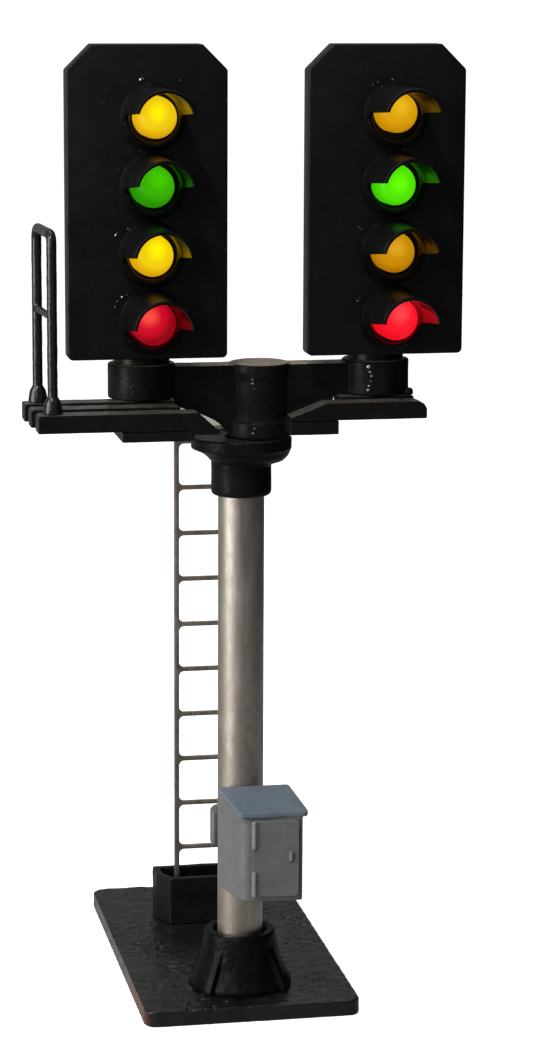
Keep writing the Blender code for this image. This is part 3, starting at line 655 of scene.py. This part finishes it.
# ------------------------------------------------------------------ mast tube
mp = [(1.35, 2.18), (1.80, 2.18), (1.84, 2.22)]
for i in range(1, 260):
    mp.append((1.84, 2.22 + (46.06 - 2.22) * i / 260.0))
mp += [(1.84, 46.06), (1.80, 46.10), (1.35, 46.10)]
tube = lathe("fine_mast_tube", mp, seg=128)
uneven(tube, [(0.006, 0.35), (0.004, 1.5)])
settle(tube, "mast_tube", "mast", M_MAST, 50)

# ----------------------------------------------------------------- ladder box
lb = prism("fine_ladder_box", [(-3.35, 15.3), (4.2, 15.3), (4.2, 19.3), (-4.3, 19.3), (-4.3, 17.0)], "z", z0, 5.45)
cut(lb, prism("c", [(-3.05, 15.85), (3.6, 15.85), (3.6, 18.8), (-3.7, 18.8), (-3.7, 17.1)], "z", 2.34, 7.0))
voxel(lb, 0.085, 5)
uneven(lb, [(0.035, 0.8), (0.015, 2.4)])
settle(lb, "ladder_box", "mast", M_LBOX, 180)

# --------------------------------------------------------------------- ladder
ys0, ys1 = 17.13, 17.47
xo, xi = 2.66, 2.24
ladder = prism("fine_ladder", [(-xo, 2.4), (xo, 2.4), (xo, 46.9), (-xo, 46.9)], "y", ys0, ys1)
levels = [7.70 + 3.97 * i for i in range(10)]
edges = [1.4] + levels + [47.9]
for i in range(len(edges) - 1):
    lo = edges[i] + (0.19 if i else 0.0)
    hi = edges[i + 1] - (0.19 if i < len(edges) - 2 else 0.0)
    cut(ladder, prism("c", rounded(-xi, xi, lo, hi, 0.42, 6), "y", ys0 - 1, ys1 + 1))
bevel(ladder, 0.06, 2, 50)
settle(ladder, "ladder", "mast", M_LADDER, 35)

landing = block("fine_ladder_landing", -3.4, 3.4, 2.9, 19.1, 46.66, 47.0)
cut(landing, block("c", -xo - 0.04, xo + 0.04, ys0 - 0.04, ys1 + 0.04, 46.0, 48.0),
    rod("c", 3.1, 46, 48, centre=(1.3, -0.6), seg=96))
bevel(landing, 0.05, 2, 50)
settle(landing, "ladder_landing", "mast", M_LAND_LIT, 35)

# ---------------------------------------------------------------- mast collar
collar = lathe("fine_mast_collar", [
    (1.88, 41.9), (2.15, 41.9), (2.33, 42.0), (2.4, 42.2), (2.4, 44.75), (3.24, 45.35), (4.0, 45.66),
    (4.0, 46.5), (3.9, 46.6), (1.3, 46.6), (1.3, 46.14), (1.88, 46.14)], seg=96)
bowl = lathe("t", [(1.7, 44.35), (1.95, 44.35), (2.96, 44.73), (3.3, 45.07), (3.5, 45.5), (3.5, 46.0), (1.7, 46.0)],
             centre=(0.45, 0.0), seg=96)
cut(bowl, rod("c", 1.98, 43, 47, seg=64))
join(collar, bowl)
voxel(collar, 0.07, 2)
uneven(collar, [(0.018, 0.9), (0.008, 2.4), (0.004, 4.5)])
settle(collar, "mast_collar", "mast", M_COLLAR, 180)

# --------------------------------------------------------------- bracket body
bX, bY = 1.3, -0.6
head_x = (bX - 9.36, bX + 9.36)
contour = [(head_x[0], 52.45), (head_x[0], 50.0), (-5.75, 50.0), (-5.6, 49.35),
           (-4.8, 49.05), (-4.0, 48.82), (-3.2, 48.5), (-2.5, 48.15), (-1.9, 47.75), (-1.4, 47.2),
           (-1.0, 46.7), (3.6, 46.7), (4.0, 47.9), (4.6, 48.35), (5.4, 48.7), (6.3, 48.95), (6.95, 49.1),
           (7.1, 50.0), (head_x[1], 50.0), (head_x[1], 52.45)]
bracket = prism("fine_bracket", contour, "y", bY - 1.2, bY + 1.2)
centre = lathe("t", [(0, 46.64), (2.45, 46.64), (2.55, 46.74), (2.55, 47.92), (2.47, 48.0), (2.30, 48.02),
                     (2.30, 51.2), (2.42, 51.9), (2.42, 52.47), (2.3, 52.55), (0, 52.55)], centre=(bX, bY), seg=96)
ends = [lathe("t", [(0, 49.98), (2.65, 49.98), (2.65, 52.58), (2.53, 52.70), (0, 52.70)], centre=(x, bY), seg=96)
        for x in head_x]
join(bracket, centre, *ends)
cuts = [rod("c", 1.24, 50.5, 54, centre=(x, bY), seg=64) for x in head_x]
cuts.append(block("c", head_x[0], head_x[1], bY - 0.45, bY + 0.45, 50.55, 51.45))
cuts.append(block("c", -0.62, 1.55, bY - 0.5, bY + 0.75, 46.0, 51.3))
cut(bracket, *cuts)
voxel(bracket, 0.075, 2)
PIPS = []
for cxx, rr, zs in ((head_x[1], 2.65, (52.25, 51.85, 51.55, 51.15, 50.75, 50.4)), (head_x[0], 2.65, (51.0, 50.6)),
                    (bX, 2.35, (52.1, 51.75, 51.45, 51.1, 50.7)), (bX, 2.55, (47.6, 47.2))):
    for q, zz in enumerate(zs):
        t = R(-21.0 + 3.0 * math.sin(5.1 * q + cxx))
        PIPS.append(Vector((cxx + rr * math.sin(t), bY - rr * math.cos(t), zz)))


def pips(co, n):
    d = 0.0
    for c in PIPS:
        q = (co - c).length_squared
        if q < 0.16:
            d += 0.055 * math.exp(-q / 0.016)
    return d


uneven(bracket, [(0.020, 0.7), (0.007, 2.0), (0.004, 4.5)], pips)
settle(bracket, "bracket_body", "mast", [M_CAST, M_GLINT_FLECK], 180)
# Faces over the pips take the bright glint specks: painted glints.
for p in bracket.data.polygons:
    c = p.center * 1000.0
    if c.y < bY - 2.0 and c.x > -2.0 and 46.9 < c.z < 52.45:
        for q, v in enumerate(PIPS):
            if (c - v).length_squared < (0.020 if q == 0 else 0.004 + 0.003 * (q % 3)):
                p.material_index = 1

# ------------------------------------------------------------------- walkway
SZ0, SZ1 = 48.57, 49.94


def slat(node, pts, y0, y1=None):
    ob = prism("fine_" + node, pts, "y", y0, y0 + 1.9)
    voxel(ob, 0.07, 2)
    uneven(ob, [(0.012, 0.8), (0.005, 2.6)])
    return settle(ob, node, "mast", M_SLAT, 180)


def plain(xa, xb):
    return [(xa, SZ0), (xb, SZ0), (xb, SZ1 - 0.12), (xb - 0.12, SZ1), (xa + 0.12, SZ1), (xa, SZ1 - 0.12)]


slat("left_slat_front", [(-17.2, SZ0), (-5.6, SZ0), (-5.6, 48.2), (-3.42, 48.2), (-3.3, 48.4), (-5.02, SZ1),
                         (-17.05, SZ1), (-17.2, SZ1 - 0.15)], -9.4)
slat("left_slat_middle", plain(-17.38, -5.85), -6.2)
slat("left_slat_rear", plain(-17.55, -5.85), -3.0)
slat("right_slat_front", [(2.75, SZ0), (13.56, SZ0), (13.6, SZ0 + 0.06), (13.6, SZ1 - 0.6), (13.38, SZ1 - 0.22),
                          (12.85, SZ1), (5.6, SZ1), (2.75, 48.85)], -6.2)
slat("right_slat_rear", plain(7.2, 13.3), -3.0)

lbear = prism("fine_left_bearer", [(-10.8, -9.3), (-5.30, -9.3), (-5.30, 0.6), (-7.6, 0.6), (-7.6, -3.1), (-10.8, -3.1)],
              "z", 47.74, 48.53)
voxel(lbear, 0.08, 2)
uneven(lbear, [(0.012, 0.9)])
settle(lbear, "left_bearer", "mast", M_CAST, 180)
rbear = prism("fine_right_bearer", [(2.76, -6.1), (6.6, -6.1), (6.6, 0.5), (4.75, 0.5), (4.75, -3.35), (2.76, -3.35)],
              "z", 47.45, 48.2)
join(rbear, prism("t", [(2.76, -6.1), (6.6, -6.1), (6.6, -3.35), (2.76, -3.35)], "z", 48.1, 48.53))
voxel(rbear, 0.08, 2)
uneven(rbear, [(0.012, 0.9)])
settle(rbear, "right_bearer", "mast", M_CAST, 180)

# ------------------------------------------------------------------ handrail
rail_x = (-15.98, -16.38)
rail_y = (-9.4 + 0.95, -3.0 + 0.95)
fz = SZ1 + 0.04
loop = arc_path([(rail_x[0], rail_y[0], fz + 0.3), (rail_x[0], rail_y[0], 63.46),
                 (rail_x[1], rail_y[1], 63.46), (rail_x[1], rail_y[1], fz + 0.3)], 0.9, 12)
rail = sweep("fine_handrail", loop, 0.39, 32)
bar = sweep("t", [(rail_x[0], rail_y[0], 57.25), (rail_x[1], rail_y[1], 57.25)], 0.27, 32)
feet = [lathe("t", [(0, fz), (0.76, fz), (0.72, fz + 0.4), (0.62, fz + 0.9), (0.45, fz + 1.2), (0, fz + 1.2)], centre=(x, y), seg=64)
        for x, y in zip(rail_x, rail_y)]
join(rail, bar, *feet)
voxel(rail, 0.055, 2)
uneven(rail, [(0.022, 0.9), (0.012, 2.6)])
settle(rail, "handrail", "mast", M_RAIL, 180)

stub = lathe("fine_stub", [(0, fz), (0.35, fz), (0.35, fz + 0.3), (0.25, fz + 0.5), (0, fz + 0.55)],
             centre=(12.94, -2.64), seg=64)
voxel(stub, 0.04, 2)
settle(stub, "right_end_stub", "mast", M_CAST, 180)

# -------------------------------------------------------------- relay cabinet
CAB = [(-0.8, -5.9), (4.0, -6.3), (3.3, -1.05), (-2.1, -1.2)]
CABLE = [(-0.72, -5.75), (3.9, -6.1), (3.4, -2.0), (-1.95, -1.95)]
TURN = math.atan2(CAB[1][1] - CAB[0][1], CAB[1][0] - CAB[0][0])


def on_front(ob):
    ob.data.transform(Matrix.Translation((CAB[0][0], CAB[0][1], 0.0)) @ Matrix.Rotation(TURN, 4, "Z"))
    return ob


cab = prism("fine_relay_body", round_corners(CAB, (0.5, 0.4, 0, 0)), "z", 10.0, 16.9)
gable = make("g", [(x, y, 16.6) for x, y in CABLE] + [(x, y, 17.00 + 0.2514 * (y + 6.25)) for x, y in CABLE],
             [(0, 3, 2, 1), (4, 5, 6, 7), (0, 1, 5, 4), (1, 2, 6, 5), (2, 3, 7, 6), (3, 0, 4, 7)])
join(cab, gable)
cut(cab, rod("c", 1.88, 9, 20, seg=96), block("c", 0.25, 3.45, -7.0, -2.35, 10.65, 16.5))
voxel(cab, 0.06, 3)
uneven(cab, [(0.012, 0.9), (0.005, 3.0)])
settle(cab, "relay_body", "mast", M_CAB, 180)

door = on_front(prism("fine_relay_door", rounded(0.72, 4.4, 10.43, 16.7, 0.2, 8), "y", -0.34, -0.04))
voxel(door, 0.05, 2)
uneven(door, [(0.008, 0.9), (0.004, 3.0)])
settle(door, "relay_door", "mast", M_DOOR_SHADED, 180)

rpts = round_corners([(-1.15, -6.2), (4.42, -6.3), (3.60, -1.90), (-2.2, -1.90)], (0.35, 0.45, 0.30, 0.35), 8)


def slope(y):
    return 17.30 + 0.2514 * (y + 6.25)


nr = len(rpts)
rv = [(x, y, slope(y) - 0.42) for x, y in rpts] + [(x, y, slope(y)) for x, y in rpts]
roof = make("fine_relay_roof", rv, [tuple(range(nr)), tuple(range(2 * nr - 1, nr - 1, -1))]
            + [(k, (k + 1) % nr, nr + (k + 1) % nr, nr + k) for k in range(nr)])
voxel(roof, 0.055, 6)
uneven(roof, [(0.012, 0.9), (0.006, 3.0)])
settle(roof, "relay_roof", "mast", M_ROOF, 180)

for nm, lo, hi in (("relay_hinge_upper", 14.4, 16.65), ("relay_hinge_lower", 10.5, 12.55)):
    kn = [(0.83 + 0.20 * math.cos(R(180 + 180 * i / 16)), -0.36 + 0.17 * math.sin(R(180 + 180 * i / 16)))
          for i in range(17)]
    h = on_front(prism("fine_" + nm, kn, "z", lo, hi))
    voxel(h, 0.035, 2)
    settle(h, nm, "mast", M_HINGE, 180)

hd = on_front(prism("fine_relay_handle", [(-0.36, 13.3), (-0.36, 14.2), (-0.52, 14.1), (-0.52, 13.4)], "x", 3.62, 3.88))
voxel(hd, 0.03, 2)
settle(hd, "relay_handle", "mast", M_HINGE, 180)

ring = []
for i in range(73):
    t = R(-18 + 218.0 * i / 72)
    ring.append((2.45 * math.cos(t), 2.45 * math.sin(t)))
for i in range(73):
    t = R(200 - 218.0 * i / 72)
    ring.append((1.88 * math.cos(t), 1.88 * math.sin(t)))
clamp = prism("fine_relay_clamp", ring, "z", 13.25, 15.95)
bevel(clamp, 0.08, 2, 50)
settle(clamp, "relay_clamp", "mast", M_CAB, 40)

# --------------------------------------------------------------- signal heads
ZB, ZT = 53.33, 53.33 + 24.03
FRONT = -3.82
LAMPS = ("lower", "second", "third", "upper")
GLOW = {
    ("left", "upper"): ((1.0, 0.88, 0.002), (0.86, 0.56, 0.006), (0.66, 0.33, 0.004), 1.0, (0.0, 0.25)),
    ("left", "third"): ((0.060, 0.60, 0.0), (0.040, 0.43, 0.001), (0.020, 0.27, 0.001), 1.0, (0.15, 0.35)),
    ("left", "second"): ((1.0, 0.92, 0.002), (0.88, 0.60, 0.004), (0.70, 0.35, 0.003), 1.0, (0.10, 0.30)),
    ("left", "lower"): ((1.0, 0.075, 0.060), (0.62, 0.0040, 0.020), (0.28, 0.0015, 0.007), 1.0, (-0.32, 0.38)),
    ("right", "upper"): ((0.84, 0.48, 0.012), (0.69, 0.34, 0.003), (0.52, 0.235, 0.001), 1.0, (0.0, 0.3)),
    ("right", "third"): ((0.14, 1.0, 0.002), (0.080, 0.76, 0.001), (0.040, 0.50, 0.001), 1.0, (0.05, 0.10)),
    ("right", "second"): ((0.72, 0.37, 0.016), (0.57, 0.25, 0.001), (0.38, 0.145, 0.001), 1.0, (-0.05, 0.25)),
    ("right", "lower"): ((1.0, 0.060, 0.070), (0.97, 0.010, 0.024), (0.80, 0.004, 0.014), 1.0, (0.05, 0.30)),
}
FITTED = {
    "left": {"lower": (0.30, -0.42, 0.14), "second": (0.28, -0.14, 0.37), "third": (0.42, -0.06, 0.46),
             "upper": (0.44, 0.24, 0.60)},
    "right": {"lower": (0.58, -0.26, 0.31), "second": (0.52, -0.10, 0.45), "third": (0.52, 0.15, 0.55),
              "upper": (0.60, 0.30, 0.63)}}
DOME = {
    "left": {"lower": (0.0, 0.03, 1.72), "second": (-0.06, 0.0, 1.60), "third": (-0.12, 0.02, 1.60),
             "upper": (0.06, 0.02, 1.60)},
    "right": {"lower": (0.05, 0.05, 1.68), "second": (-0.10, 0.0, 1.57), "third": (-0.10, 0.0, 1.58),
              "upper": (-0.08, 0.30, 1.55)}}


# Painted glints: small domes on each hood, given the bright glint material and put where glints fall (x and z offset
# from the lamp, radius, in mm).
GLINT_BEADS = {
    ("left", "upper"): ((-0.88, 2.80, 0.11), (-0.70, 2.86, 0.06), (2.1, 2.75, 0.05)),
    ("left", "third"): ((-2.55, 1.25, 0.04), (-0.9, 2.66, 0.04)),
    ("left", "second"): ((-2.70, 1.47, 0.08), (-2.62, 1.62, 0.05), (-1.75, 1.95, 0.06)),
    ("left", "lower"): ((-2.80, 1.20, 0.07), (-2.62, 1.62, 0.06), (-2.25, 1.95, 0.08), (-1.9, 2.1, 0.04)),
    ("right", "upper"): ((-1.75, 2.35, 0.06), (-1.35, 2.55, 0.05), (-0.2, 2.75, 0.06), (0.55, 2.95, 0.05)),
    ("right", "third"): ((2.5, -1.3, 0.04), (0.9, 2.62, 0.04)),
    ("right", "second"): ((-2.65, 1.85, 0.07), (-2.45, 1.70, 0.05), (2.62, 0.7, 0.04)),
    ("right", "lower"): ((-2.75, 1.35, 0.07), (-2.60, 1.62, 0.04)),
}


def hood(name, cx, cz, low, high, lining, glint_beads=()):
    """A tube open below: a full ring at its root, then a roof that runs forward over the lamp."""
    f0 = FRONT - 0.04
    tip = FRONT - 7.0
    ring_y = FRONT - 1.0
    r_in, r_out = 2.06, 2.36
    mid = (r_in + r_out) / 2
    half = (r_out - r_in) / 2

    def end(theta):
        z = mid * math.sin(theta)
        if z <= low - 0.5:
            y = ring_y
        elif z <= low:
            y = ring_y - 0.6 * (z - low + 0.5) / 0.5
        else:
            y = ring_y - 0.6 - (z - low) / (high - low) * 5.4
        return max(tip, y)

    thetas = []
    t = 0.0
    n = 220
    for i in range(n):
        thetas.append(2 * math.pi * i / n)
    extra = []
    for z in [low - 0.5, low - 0.25] + [low + (high - low) * k / 10.0 for k in range(11)]:
        a = math.asin(z / mid)
        extra += [a % (2 * math.pi), (math.pi - a) % (2 * math.pi)]
    thetas = sorted(set(round(x, 5) for x in thetas + extra))
    clean = [thetas[0]]
    for x in thetas[1:]:
        if x - clean[-1] > 0.006:
            clean.append(x)
    thetas = clean
    rings = []
    root = 1.90
    for th in thetas:
        e = end(th)
        open_ = max(0.0, min(1.0, (ring_y - e) / 0.6))
        lip = root + (r_in - root) * open_
        half = (r_out - lip) / 2
        mid = (r_out + lip) / 2
        prof = []
        prof += [(root, f0), (2.50, f0), (2.56, f0 - 0.06), (2.56, f0 - 0.29), (2.52, f0 - 0.37), (2.44, f0 - 0.53),
                 (2.40, f0 - 0.62)]
        ys = [f0 - 0.62 + (e + half - (f0 - 0.62)) * k / 30.0 for k in range(1, 31)]
        for y in ys:
            s = (y - (f0 - 0.62)) / (tip - (f0 - 0.62))
            prof.append((2.40 + (r_out - 2.40) * min(1.0, max(0.0, s) * 3), y))
        for k in range(1, 8):
            a = math.pi * k / 8
            prof.append((mid + half * math.cos(a), e + half - half * math.sin(a)))
        for k in range(0, 15):
            y = e + half + (f0 - 0.02 - (e + half)) * k / 14.0
            prof.append((min(lip, root + (r_in - root) * max(0.0, min(1.0, (FRONT - 0.9 - y) / 0.8))), y))
        rings.append(prof)
    m_ = len(rings[0])
    verts = []
    for th, prof in zip(thetas, rings):
        c, s = math.cos(th), math.sin(th)
        for r, y in prof:
            verts.append((cx + r * c, y, cz + r * s))
    faces = []
    nt_ = len(thetas)
    for i in range(nt_):
        j = (i + 1) % nt_
        for k in range(m_):
            l = (k + 1) % m_
            faces.append((i * m_ + k, i * m_ + l, j * m_ + l, j * m_ + k))
    shell = len(faces)
    # The glint beads: small domes that carry the bright glint material, a painted glint.
    for dx, dz, r in glint_beads:
        r *= 1.4
        d = math.hypot(dx, dz)
        y0 = FRONT - 0.03 if d > 2.58 else f0 - 0.34
        at = len(verts)
        for rr, yy in ((r, y0 + 0.02), (r * 0.72, y0 - 0.55 * r)):
            verts += [(cx + dx + rr * math.cos(math.pi * k / 6), yy, cz + dz + rr * math.sin(math.pi * k / 6))
                      for k in range(12)]
        verts.append((cx + dx, y0 - 0.8 * r, cz + dz))
        faces.append(tuple(at + k for k in range(11, -1, -1)))
        for k in range(12):
            l = (k + 1) % 12
            faces.append((at + k, at + l, at + 12 + l, at + 12 + k))
            faces.append((at + 12 + k, at + 12 + l, at + 24))
    ob = make(name, verts, faces)
    me = ob.data
    me.materials.append(M_HOOD)
    me.materials.append(lining)
    me.materials.append(M_GLINT_FLECK)
    for p in me.polygons:
        if p.index >= shell:
            p.material_index = 2
            continue
        k = p.index % m_
        if k >= m_ - 17:
            p.material_index = 1
    return ob


for side, cx in (("left", head_x[0]), ("right", head_x[1])):
    body = side + "_head"
    w = 6.2
    hx = cx + 0.06
    lx = [cx + FITTED[side][n][0] for n in LAMPS]
    lz = [ZB + 2.9 + 5.22 * i for i in range(4)]
    low = rounded(hx - w, hx + w, ZB, ZB + 4, 0.4, 8, (1, 1, 0, 0))
    outline = [p for p in low if p[1] < ZB + 3.9]
    outline += [(hx + w, ZT - 1.94), (hx + w - 1.94, ZT), (hx - w + 1.94, ZT), (hx - w, ZT - 1.94)]
    board = prism("fine_%s_backboard" % side, outline, "y", FRONT, FRONT + 2.0)
    bevel(board, 0.12, 3, 25)
    cut(board, *[rod("c", DOME[side][n][2] + 0.04, -9, 3, centre=(x + DOME[side][n][0], z + DOME[side][n][1]), seg=96,
                     axis="y")
                 for n, x, z in zip(LAMPS, lx, lz)])
    settle(board, side + "_backboard", body, M_HEAD, 30)

    ry0 = FRONT + 2.04
    cover = prism("fine_%s_rear_cover" % side, rounded(cx - 4.7, cx + 4.7, ZB - 0.16, ZT - 1.4, 0.7, 10), "y", ry0, 1.5)
    bevel(cover, 0.22, 4, 50)
    cut(cover, prism("c", rounded(cx - 4.2, cx + 4.2, ZB + 0.6, ZT - 1.9, 0.5, 6), "y", ry0 - 1, 1.0))
    spig = lathe("t", [(0, 51.5), (1.12, 51.5), (1.2, 51.6), (1.2, 52.74), (2.2, 52.74), (2.2, ZB - 0.04), (0, ZB - 0.04)],
                 centre=(cx, bY), seg=64)
    join(cover, spig)
    cut(cover, rod("c", 0.6, 50, ZB + 1.2, centre=(cx, bY), seg=48))
    settle(cover, side + "_rear_cover", body, M_HEAD, 30)

    pcb = block("fine_%s_board" % side, cx - 3.9, cx + 3.9, -0.55, -0.15, ZB + 0.9, ZT - 2.2)
    cut(pcb, rod("c", 0.9, 50, ZB + 2.0, centre=(cx, bY), seg=32))
    bevel(pcb, 0.04, 2, 50)
    settle(pcb, side + "_circuit_board", body, M_PCB, 30)

    for name, x, z in zip(LAMPS, lx, lz):
        ox, oz, dr = DOME[side][name]
        prof = [(0, -0.62), (dr - 0.07, -0.62), (dr, -0.70), (dr, FRONT - 1.20)]
        for i in range(1, 19):
            t = R(90 * i / 18)
            prof.append((dr * math.cos(t) ** 0.9 if i < 18 else 0.0, FRONT - 1.20 - 1.30 * math.sin(t)))
        lamp = lathe("fine_%s_lamp_%s" % (side, name), prof, centre=(x + ox, z + oz), seg=96, axis="y")
        core, mid_c, rim, st, lit = GLOW[(side, name)]
        settle(lamp, "%s_lamp_%s" % (side, name), body,
               lens("lens_%s_%s" % (side, name), (x + ox, z + oz), core, mid_c, rim, st, lit, 0.1 * LAMPS.index(name)), 40)
        lining = M_HOOD_IN_RED if name == "lower" else M_HOOD_IN
        hd = hood("fine_%s_hood_%s" % (side, name), x, z, FITTED[side][name][1], FITTED[side][name][2], lining,
                  GLINT_BEADS[(side, name)])
        settle(hd, "%s_hood_%s" % (side, name), body, [M_HOOD, lining, M_GLINT_FLECK], 50)

# ---------------------------------------------------------------------- leads
for side, cx, top_x, low_x in (("left", head_x[0], 0.05, -0.42), ("right", head_x[1], 0.95, 0.42)):
    route = arc_path([(cx, bY, 53.4), (cx, bY, 50.95), (top_x, bY, 50.95), (top_x, bY, 48.2),
                      (low_x, 0.0, 45.8), (low_x, 0.0, 7.0), (low_x, 0.83, 2.6), (low_x, 0.83, 0.35)], 0.55, 10)
    lead = sweep("fine_%s_lead" % side, route, 0.3, 24)
    settle(lead, side + "_lead", "mast", M_WIRE[side], 50)
